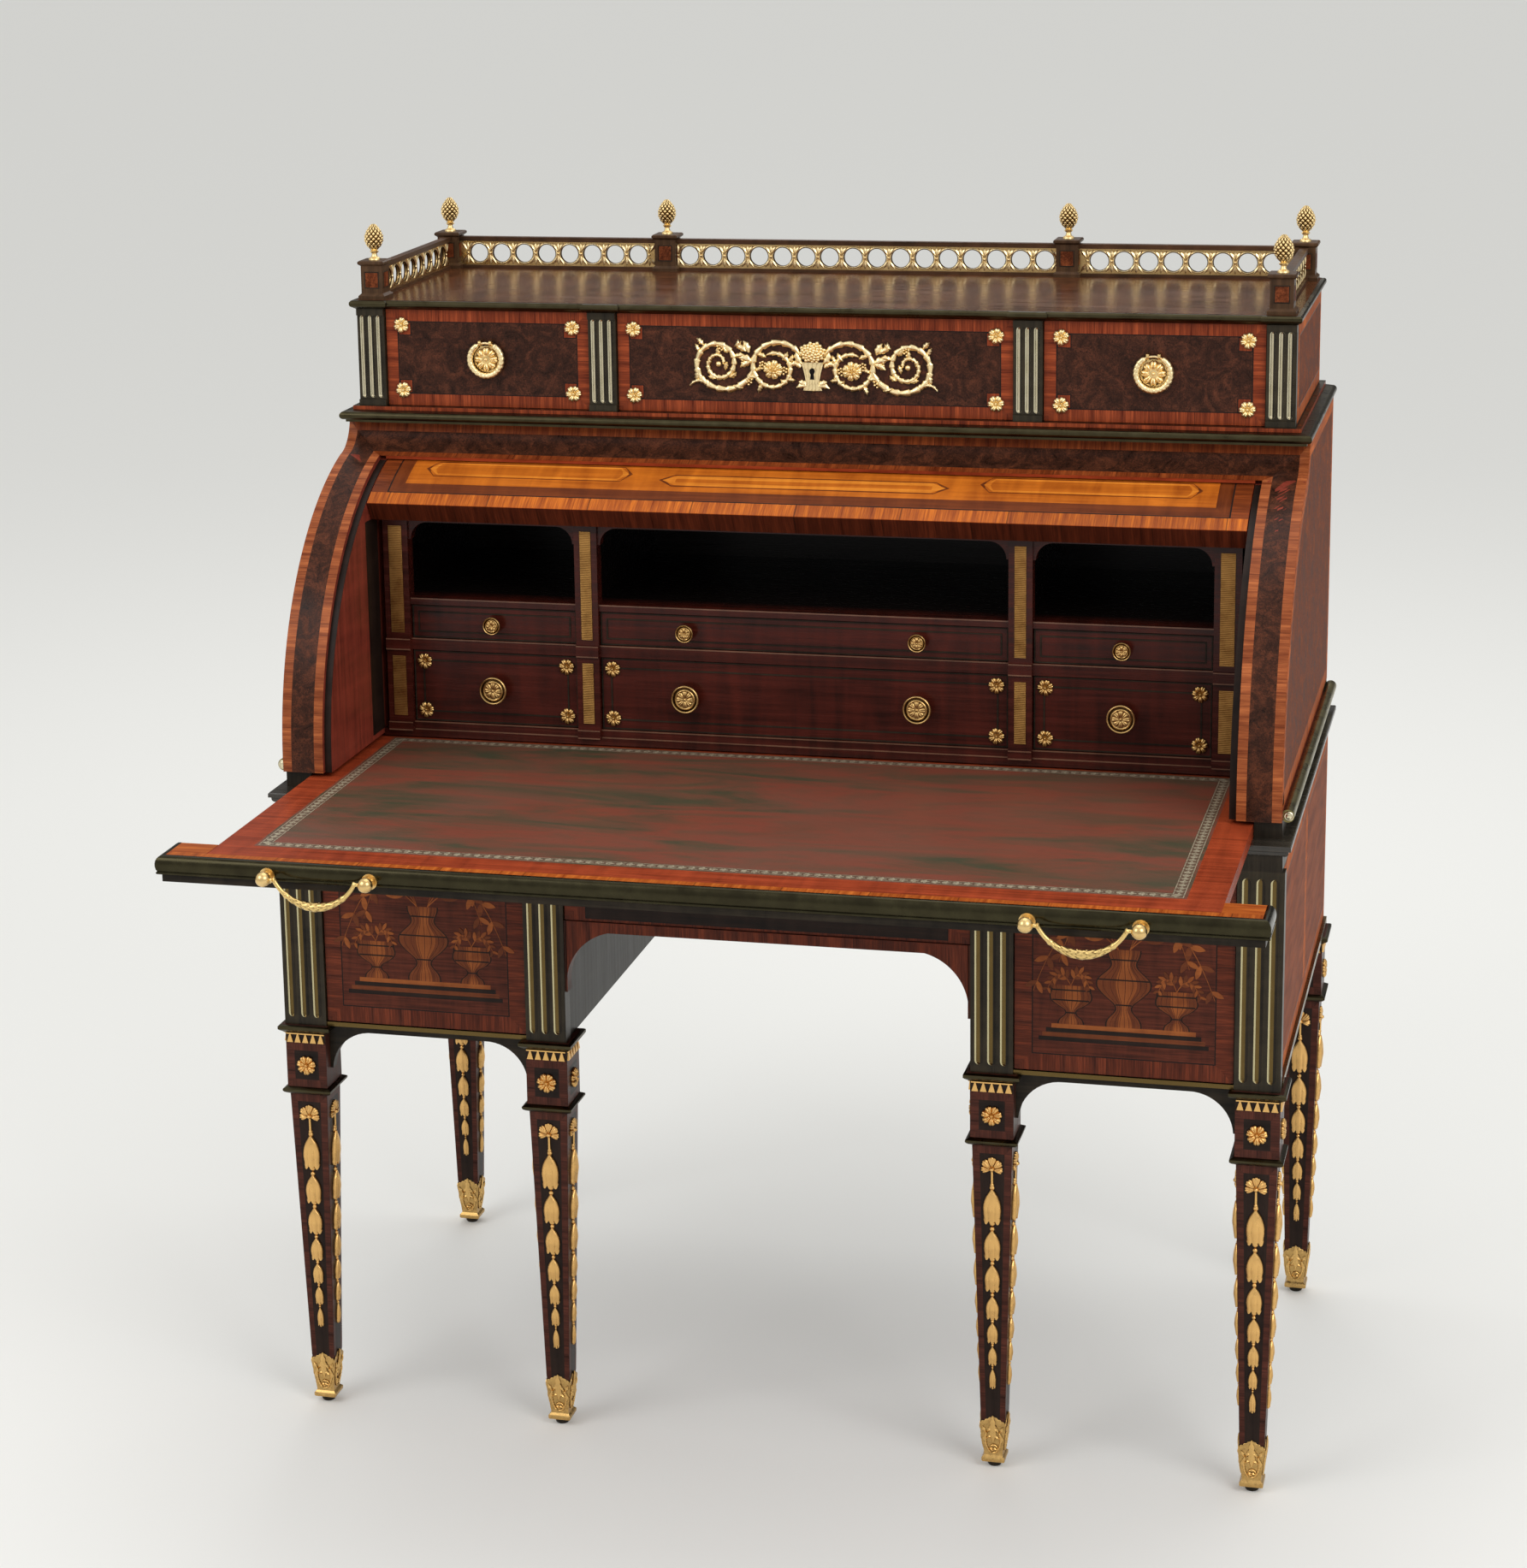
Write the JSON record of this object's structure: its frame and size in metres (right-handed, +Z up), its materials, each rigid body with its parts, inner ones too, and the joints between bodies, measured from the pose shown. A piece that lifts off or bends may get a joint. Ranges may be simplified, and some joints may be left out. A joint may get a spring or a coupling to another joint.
{
  "type": "cylinder desk",
  "caption": "Cylinder desk with a writing slide that draws out as the quarter-round front turns back, over a pigeonhole interior, deep drawers, tapered legs and a pierced gallery.",
  "frame": {"origin": "on the floor, at the middle of the box round the desk with its slide drawn out", "axes": "+Z up, -Y towards the sitter at the front, +X to the right seen from the front"},
  "size_m": [1.16, 0.9463, 1.359],
  "materials": {
    "veneered_wood": "polished cross-banded veneer",
    "dark_mahogany": "waxed",
    "red_wood": "polished",
    "leather": "mottled and tooled",
    "gilt_brass": "gilt",
    "dark_brass": "patinated",
    "iron": "dark"
  },
  "bodies": {
    "carcass": {"front_legs": "veneered_wood", "back_legs": "veneered_wood", "leg_spandrels": "veneered_wood", "kneehole_apron": "veneered_wood", "pedestal_sides": "veneered_wood", "case_floors": "dark_mahogany", "slide_bed": "dark_mahogany", "back_panels": "dark_mahogany", "end_boards": "veneered_wood", "waist_rails": "veneered_wood", "cove_board": "veneered_wood", "upper_base": "veneered_wood", "upper_uprights": "veneered_wood", "pilasters": "veneered_wood", "top_board": "veneered_wood", "gallery_posts": "veneered_wood", "gallery_rails": "veneered_wood", "pigeonhole_case": "dark_mahogany", "pigeonhole_arches": "dark_mahogany", "sabots": "gilt_brass", "drawer_beads": "gilt_brass", "case_cap": "dark_brass", "pivot_pins": "iron", "waist_mouldings": "dark_brass", "pilaster_flutes": "gilt_brass", "gallery_fret": "gilt_brass", "finials": "gilt_brass", "interior_plates": "gilt_brass"},
    "writing_slide": {"slide_panel": "red_wood", "leather_top": "leather", "slide_rail": "red_wood", "slide_nose": "dark_brass", "bail_posts": "gilt_brass"},
    "left_bail": {"bail_left": "gilt_brass"},
    "right_bail": {"bail_right": "gilt_brass"},
    "cylinder": {"cylinder_shell": "veneered_wood", "cylinder_arms": "iron"},
    "lower_left_drawer": {"lower_left_drawer": "veneered_wood"},
    "lower_right_drawer": {"lower_right_drawer": "veneered_wood"},
    "centre_drawer": {"centre_drawer": "veneered_wood"},
    "upper_left_drawer": {"upper_left_drawer": "veneered_wood", "ring_plate_left": "gilt_brass"},
    "upper_right_drawer": {"upper_right_drawer": "veneered_wood", "ring_plate_right": "gilt_brass"},
    "upper_centre_drawer": {"upper_centre_drawer": "veneered_wood", "scroll_mount": "gilt_brass"},
    "small_left_drawer": {"small_left_drawer": "dark_mahogany", "small_left_knob": "gilt_brass"},
    "small_right_drawer": {"small_right_drawer": "dark_mahogany", "small_right_knob": "gilt_brass"},
    "small_centre_drawer": {"small_centre_drawer": "dark_mahogany", "small_centre_knob": "gilt_brass"},
    "large_left_drawer": {"large_left_drawer": "dark_mahogany", "large_left_knob": "gilt_brass"},
    "large_right_drawer": {"large_right_drawer": "dark_mahogany", "large_right_knob": "gilt_brass"},
    "large_centre_drawer": {"large_centre_drawer": "dark_mahogany", "large_centre_knob": "gilt_brass"},
    "left_ring": {"ring_left": "gilt_brass"},
    "right_ring": {"ring_right": "gilt_brass"}
  },
  "joints": [
    {"name": "slide_draw", "type": "slide", "parent": "carcass", "child": "writing_slide", "axis": [0, -1, 0], "range_m": [-0.254, 0]},
    {"name": "cylinder_turn", "type": "hinge", "parent": "carcass", "child": "cylinder", "pos_m": [0, 0.20815, 0.78], "axis": [-1, 0, 0], "range_deg": [-59, 0]},
    {"name": "left_bail_swing", "type": "hinge", "parent": "writing_slide", "child": "left_bail", "pos_m": [-0.398, -0.46515, 0.7523], "axis": [-1, 0, 0], "range_deg": [0, 90]},
    {"name": "right_bail_swing", "type": "hinge", "parent": "writing_slide", "child": "right_bail", "pos_m": [0.398, -0.46515, 0.7523], "axis": [-1, 0, 0], "range_deg": [0, 90]},
    {"name": "lower_left_drawer_slide", "type": "slide", "parent": "carcass", "child": "lower_left_drawer", "axis": [0, -1, 0], "range_m": [0, 0.4]},
    {"name": "lower_right_drawer_slide", "type": "slide", "parent": "carcass", "child": "lower_right_drawer", "axis": [0, -1, 0], "range_m": [0, 0.4]},
    {"name": "centre_drawer_slide", "type": "slide", "parent": "carcass", "child": "centre_drawer", "axis": [0, -1, 0], "range_m": [0, 0.36]},
    {"name": "upper_left_drawer_slide", "type": "slide", "parent": "carcass", "child": "upper_left_drawer", "axis": [0, -1, 0], "range_m": [0, 0.19]},
    {"name": "upper_right_drawer_slide", "type": "slide", "parent": "carcass", "child": "upper_right_drawer", "axis": [0, -1, 0], "range_m": [0, 0.19]},
    {"name": "upper_centre_drawer_slide", "type": "slide", "parent": "carcass", "child": "upper_centre_drawer", "axis": [0, -1, 0], "range_m": [0, 0.19]},
    {"name": "small_left_drawer_slide", "type": "slide", "parent": "carcass", "child": "small_left_drawer", "axis": [0, -1, 0], "range_m": [0, 0.19]},
    {"name": "small_right_drawer_slide", "type": "slide", "parent": "carcass", "child": "small_right_drawer", "axis": [0, -1, 0], "range_m": [0, 0.19]},
    {"name": "small_centre_drawer_slide", "type": "slide", "parent": "carcass", "child": "small_centre_drawer", "axis": [0, -1, 0], "range_m": [0, 0.19]},
    {"name": "large_left_drawer_slide", "type": "slide", "parent": "carcass", "child": "large_left_drawer", "axis": [0, -1, 0], "range_m": [0, 0.19]},
    {"name": "large_right_drawer_slide", "type": "slide", "parent": "carcass", "child": "large_right_drawer", "axis": [0, -1, 0], "range_m": [0, 0.19]},
    {"name": "large_centre_drawer_slide", "type": "slide", "parent": "carcass", "child": "large_centre_drawer", "axis": [0, -1, 0], "range_m": [0, 0.19]},
    {"name": "left_ring_swing", "type": "hinge", "parent": "upper_left_drawer", "child": "left_ring", "pos_m": [-0.38725, 0.13515, 1.2242], "axis": [-1, 0, 0], "range_deg": [0, 80]},
    {"name": "right_ring_swing", "type": "hinge", "parent": "upper_right_drawer", "child": "right_ring", "pos_m": [0.38725, 0.13515, 1.2242], "axis": [-1, 0, 0], "range_deg": [0, 80]}
  ],
  "couplings": [
    {"joint": "cylinder_turn", "follows": "slide_draw", "rad_per_m": 4.0541}
  ]
}
